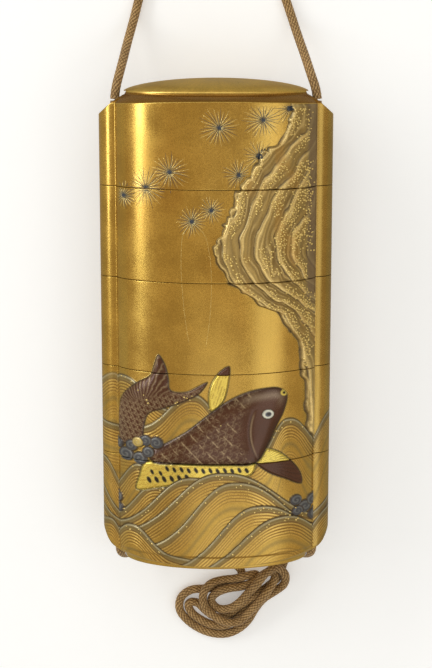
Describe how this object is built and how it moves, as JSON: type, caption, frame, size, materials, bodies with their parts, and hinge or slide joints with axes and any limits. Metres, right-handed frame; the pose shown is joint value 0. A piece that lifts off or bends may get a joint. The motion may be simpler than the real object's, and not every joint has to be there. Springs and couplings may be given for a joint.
{
  "type": "inro case",
  "caption": "Small lacquered case of stacked nesting boxes under one lid, oval in section, strung on a silk cord tied in a bow under the base.",
  "frame": {"origin": "on the flat spot of the back, at the middle of the case's length and width, on the surface it lies on", "axes": "+Y along the case to the lid, +Z out of the pictured front, +X to the right of the picture"},
  "size_m": [0.0466, 0.1726, 0.0257],
  "materials": {
    "gold_lacquer": "polished lacquer on wood, sprinkled with gold powder, with a raised picture in brown, grey and gold",
    "cord_silk": "fine round silk braid, matt with a slight sheen",
    "gold_foil": "bright gold lines, dots and leaf of the picture",
    "blue_grey_lacquer": "blue-grey raised lacquer of the needle clusters and foam"
  },
  "bodies": {
    "root": {"lid": "gold_lacquer", "case_1": "gold_lacquer", "case_2": "gold_lacquer", "case_3": "gold_lacquer", "case_bottom": "gold_lacquer", "cord_upper": "cord_silk", "cord_run_left": "cord_silk", "cord_run_right": "cord_silk", "cord_lower_left": "cord_silk", "cord_lower_right": "cord_silk", "cord_bow": "cord_silk"}
  },
  "joints": []
}
